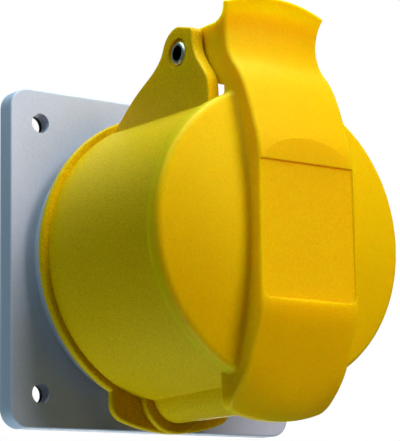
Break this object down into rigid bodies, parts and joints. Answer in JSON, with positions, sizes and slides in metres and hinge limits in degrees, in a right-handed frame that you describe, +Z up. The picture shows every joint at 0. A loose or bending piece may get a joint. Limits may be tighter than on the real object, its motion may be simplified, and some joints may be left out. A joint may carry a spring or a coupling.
{
  "type": "industrial panel socket",
  "caption": "Round yellow industrial power socket on a square grey panel flange, with a sprung hinged lid, a keyed shroud and pin contacts.",
  "frame": {"origin": "centre of the four fixing holes, in the mounting face of the flange, on the socket's axis", "axes": "+X to the right as seen by someone facing the socket, -Y out of the panel along the plug's way in, +Z up to the hinge"},
  "size_m": [0.075, 0.078, 0.0895],
  "materials": {
    "flange_plastic": "fine-textured grey moulded plastic",
    "shroud_plastic": "satin yellow moulded plastic",
    "lid_plastic": "satin yellow moulded plastic",
    "carrier_plastic": "black moulded plastic",
    "seal_rubber": "black sealing rubber",
    "contact_brass": "turned brass",
    "spring_steel": "drawn spring steel",
    "steel": "zinc-plated steel"
  },
  "bodies": {
    "housing": {"flange_plate": "flange_plastic", "panel_gasket": "seal_rubber", "shroud_seal": "seal_rubber", "front_shroud": "shroud_plastic", "shroud_screws": "steel", "contact_carrier": "carrier_plastic", "terminal_block": "carrier_plastic", "clamp_screws": "steel", "earth_sleeve": "contact_brass", "line_sleeve": "contact_brass", "neutral_sleeve": "contact_brass", "earth_spring_ring": "spring_steel", "line_spring_ring": "spring_steel", "neutral_spring_ring": "spring_steel", "wire_guards": "spring_steel", "terminal_screws": "steel", "hinge_pin": "spring_steel", "lid_spring": "spring_steel"},
    "lid": {"lid": "lid_plastic", "lid_gasket": "seal_rubber"}
  },
  "joints": [
    {"name": "lid_hinge", "type": "hinge", "parent": "housing", "child": "lid", "pos_m": [0, -0.0372, 0.0404], "axis": [-1, 0, 0], "range_deg": [0, 165], "stiffness_Nm_per_rad": 0.04, "springref_deg": -51.57, "deforming": ["lid_spring"]}
  ]
}
